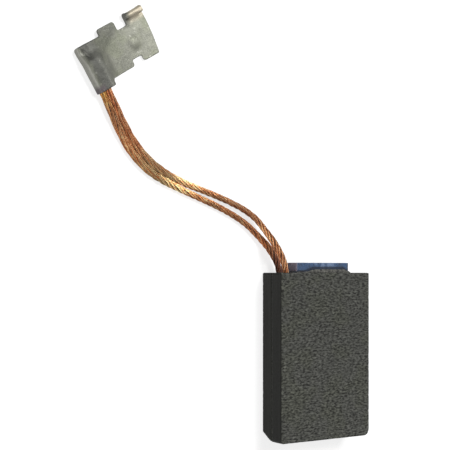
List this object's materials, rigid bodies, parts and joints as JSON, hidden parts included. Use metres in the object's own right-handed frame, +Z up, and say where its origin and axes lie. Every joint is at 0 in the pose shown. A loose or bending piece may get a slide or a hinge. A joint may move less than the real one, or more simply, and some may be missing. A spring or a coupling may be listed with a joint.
{
  "type": "carbon brush",
  "caption": "Split carbon brush of thin flat wafers with a rubber top pad, bare copper rope leads and a folded, notched flag terminal.",
  "frame": {"origin": "on the surface the brush lies on, under the middle of the wafers and pad", "axes": "+X across the wide face, away from the leads' side; +Y along the brush towards the pad and leads; +Z up, out of the front wafer's wide face"},
  "size_m": [0.1083, 0.1417, 0.0111],
  "materials": {
    "front_carbon": "fine ground electrographite, dull, with a fine wavy grain",
    "rear_carbon": "fine ground electrographite, dull",
    "tamped_powder": "tamped copper and graphite powder, rough and dull",
    "pad_rubber": "muted blue rubber, dusty",
    "adhesive": "dark grey adhesive, satin and dusty",
    "copper_rope": "bare rope of fine bright copper strands",
    "tinned_sheet": "dull tin plating, rolled and folded"
  },
  "bodies": {
    "root": {"front_wafer": "front_carbon", "rear_wafer": "rear_carbon", "front_tamping": "tamped_powder", "rear_tamping": "tamped_powder", "top_pad": "pad_rubber", "pad_adhesive": "adhesive", "front_lead": "copper_rope", "rear_lead": "copper_rope", "terminal": "tinned_sheet"}
  },
  "joints": []
}
